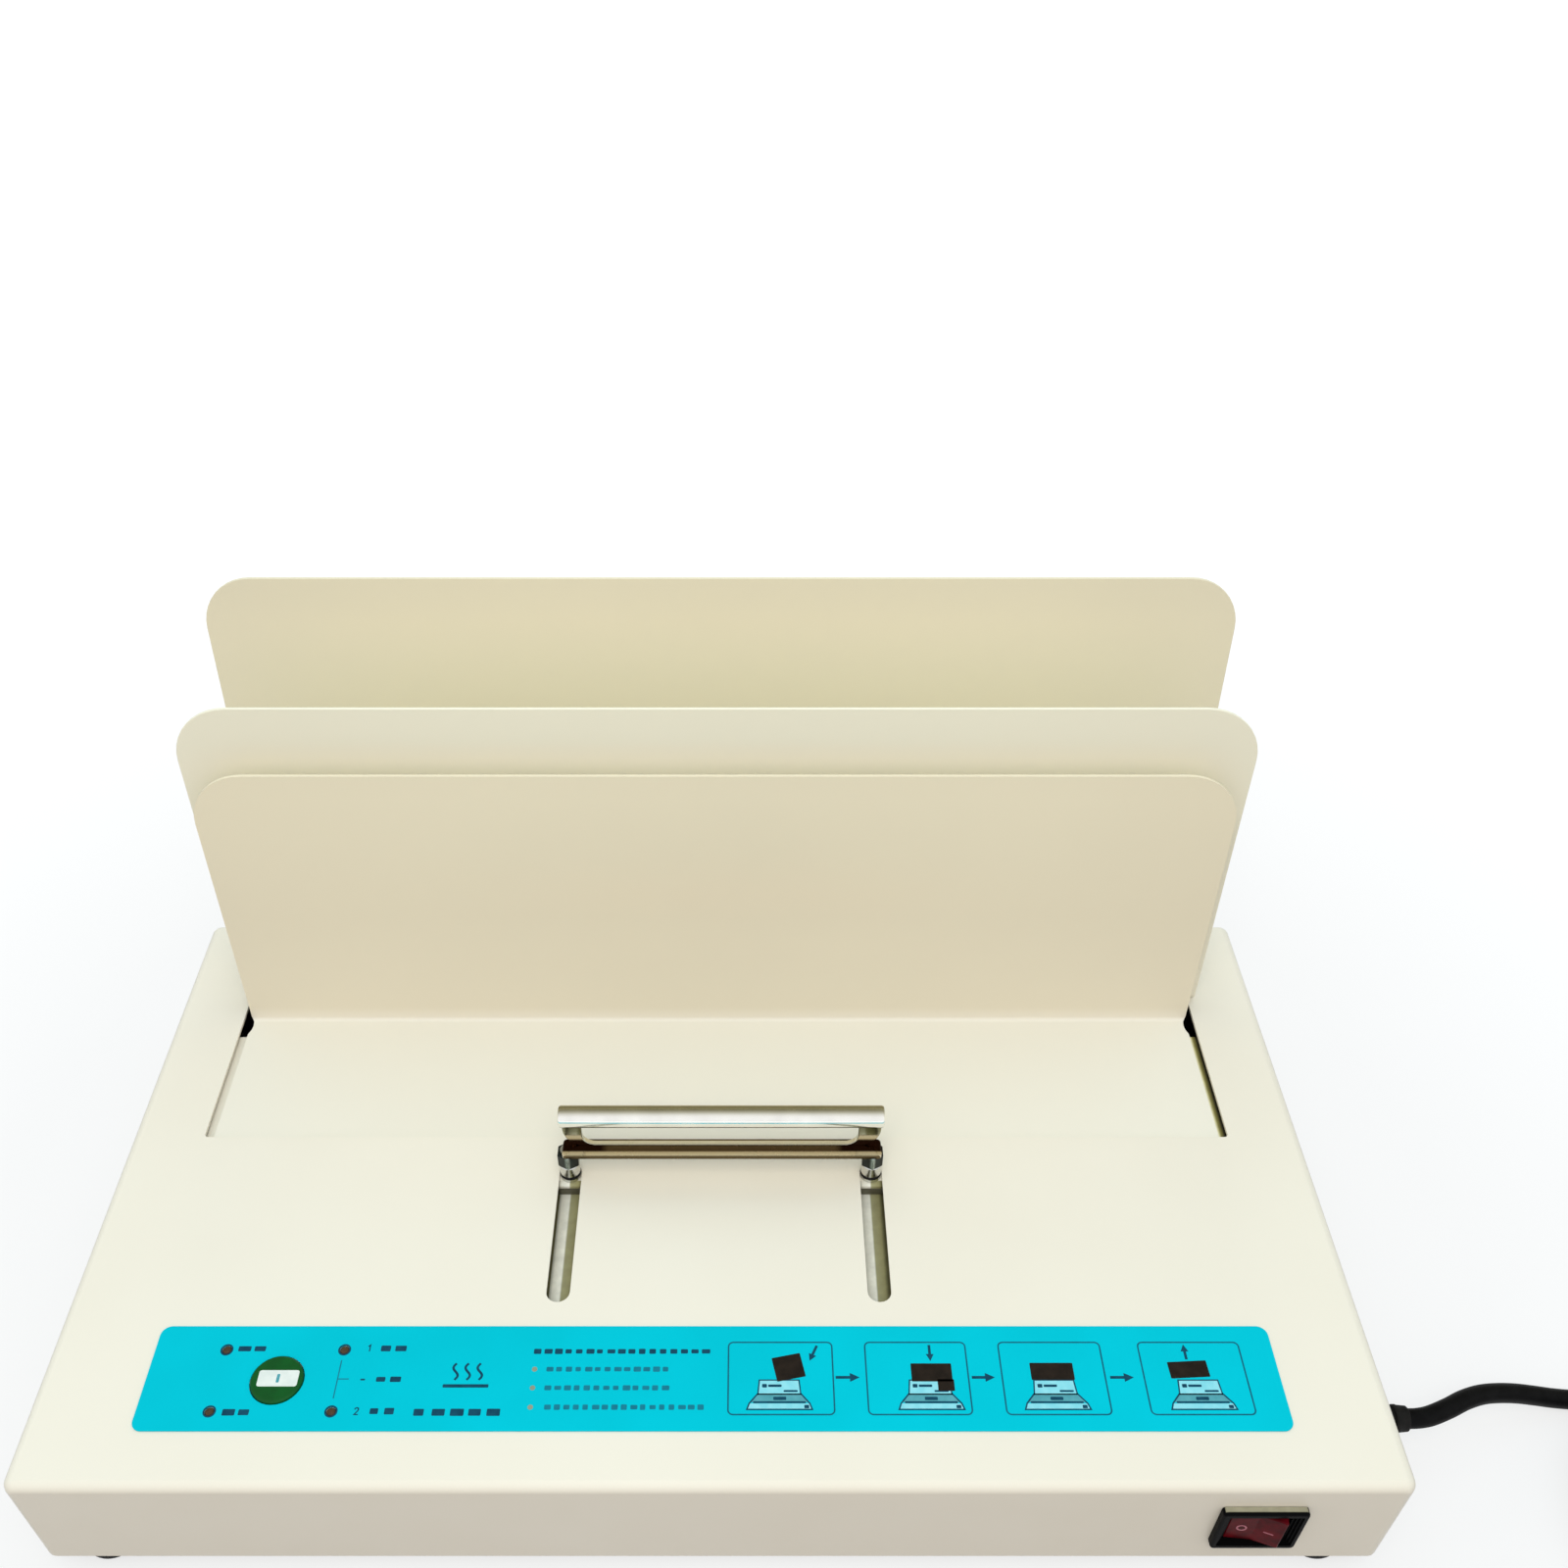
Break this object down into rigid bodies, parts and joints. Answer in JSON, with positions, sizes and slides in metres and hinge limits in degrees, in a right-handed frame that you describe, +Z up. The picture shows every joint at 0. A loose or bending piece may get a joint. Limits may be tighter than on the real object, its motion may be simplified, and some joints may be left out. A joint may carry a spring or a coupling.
{
  "type": "thermal binding machine",
  "caption": "Desktop thermal binding machine: low steel box, heated slot closed by a sliding front plate with a chrome pull, cooling rack behind, mains cord with plug.",
  "frame": {"origin": "on the table under the middle of the machine's bounding box, without its cord, strain relief, coil and plug", "axes": "+X to the operator's right along the panels, +Y to the back (from the control label to the rear panel), +Z up"},
  "size_m": [0.6358, 0.3233, 0.2145],
  "materials": {
    "ivory_paint": "satin ivory powder coat",
    "zinc_steel": "plain zinc-plated steel",
    "label_film": "printed cyan film",
    "lamp_lens": "unlit red-brown lens",
    "board_laminate": "green solder mask",
    "black_plastic": "fine-grained black",
    "dark_steel": "blackened steel",
    "winding_tape": "yellow tape over copper",
    "white_nylon": "natural nylon",
    "plate_aluminium": "extruded, bare",
    "element_mica": "mica-wrapped heating foil",
    "insulation_fibre": "pressed mineral fibre",
    "black_rubber": "matte black rubber",
    "cord_sheath": "round black mains cable",
    "chrome_plate": "polished chrome",
    "button_green": "green push button",
    "rocker_red": "dark red translucent paddle"
  },
  "bodies": {
    "housing": {"top_cover": "ivory_paint", "base_tray": "zinc_steel", "middle_panel": "ivory_paint", "rear_panel": "ivory_paint", "control_label": "label_film", "lamp_rear_left": "lamp_lens", "lamp_rear_right": "lamp_lens", "lamp_front_left": "lamp_lens", "lamp_front_right": "lamp_lens", "control_board": "board_laminate", "board_bracket": "zinc_steel", "push_switch": "black_plastic", "transformer_core": "dark_steel", "transformer_winding": "winding_tape", "terminal_block": "white_nylon", "heating_plate": "plate_aluminium", "heater_element": "element_mica", "insulation_board": "insulation_fibre", "thermostat": "black_plastic", "thermal_fuse": "zinc_steel", "heater_bracket_left": "ivory_paint", "heater_bracket_right": "ivory_paint", "guide_rail_left": "zinc_steel", "guide_rail_right": "zinc_steel", "return_spring_left": "zinc_steel", "return_spring_right": "zinc_steel", "switch_housing": "black_plastic", "foot_front_left": "black_rubber", "foot_front_right": "black_rubber", "foot_rear_left": "black_rubber", "foot_rear_right": "black_rubber", "cover_screw_left_front": "zinc_steel", "cover_screw_right_front": "zinc_steel", "cover_screw_left_rear": "zinc_steel", "cover_screw_right_rear": "zinc_steel", "rear_panel_screw_left": "zinc_steel", "rear_panel_screw_middle": "zinc_steel", "rear_panel_screw_right": "zinc_steel", "middle_panel_screw_left": "zinc_steel", "middle_panel_screw_middle": "zinc_steel", "middle_panel_screw_right": "zinc_steel", "strain_relief": "black_rubber", "power_cord": "cord_sheath", "cord_coil": "cord_sheath", "plug_lead": "cord_sheath", "power_plug": "black_plastic"},
    "clamp": {"clamp_plate": "ivory_paint", "pull_handle": "chrome_plate", "handle_post_left": "zinc_steel", "handle_post_right": "zinc_steel", "post_sleeve_left": "chrome_plate", "post_sleeve_right": "chrome_plate", "post_ring_left": "black_rubber", "post_ring_right": "black_rubber", "post_nut_left": "dark_steel", "post_nut_right": "dark_steel", "guide_shoe_left": "zinc_steel", "guide_shoe_right": "zinc_steel"},
    "button": {"start_button": "button_green"},
    "rocker": {"switch_rocker": "rocker_red"}
  },
  "joints": [
    {"name": "clamp_slide", "type": "slide", "parent": "housing", "child": "clamp", "axis": [0, -1, 0], "range_m": [0, 0.05], "stiffness_N_per_m": 200, "springref_m": -0.03, "deforming": ["return_spring_left", "return_spring_right"]},
    {"name": "button_press", "type": "slide", "parent": "housing", "child": "button", "axis": [0, 0, -1], "range_m": [0, 0.0005], "stiffness_N_per_m": 1500, "springref_m": -0.0005},
    {"name": "rocker_tilt", "type": "hinge", "parent": "housing", "child": "rocker", "pos_m": [0.1755, -0.13424, 0.0335], "axis": [0, 0, 1], "range_deg": [0, 26]}
  ]
}
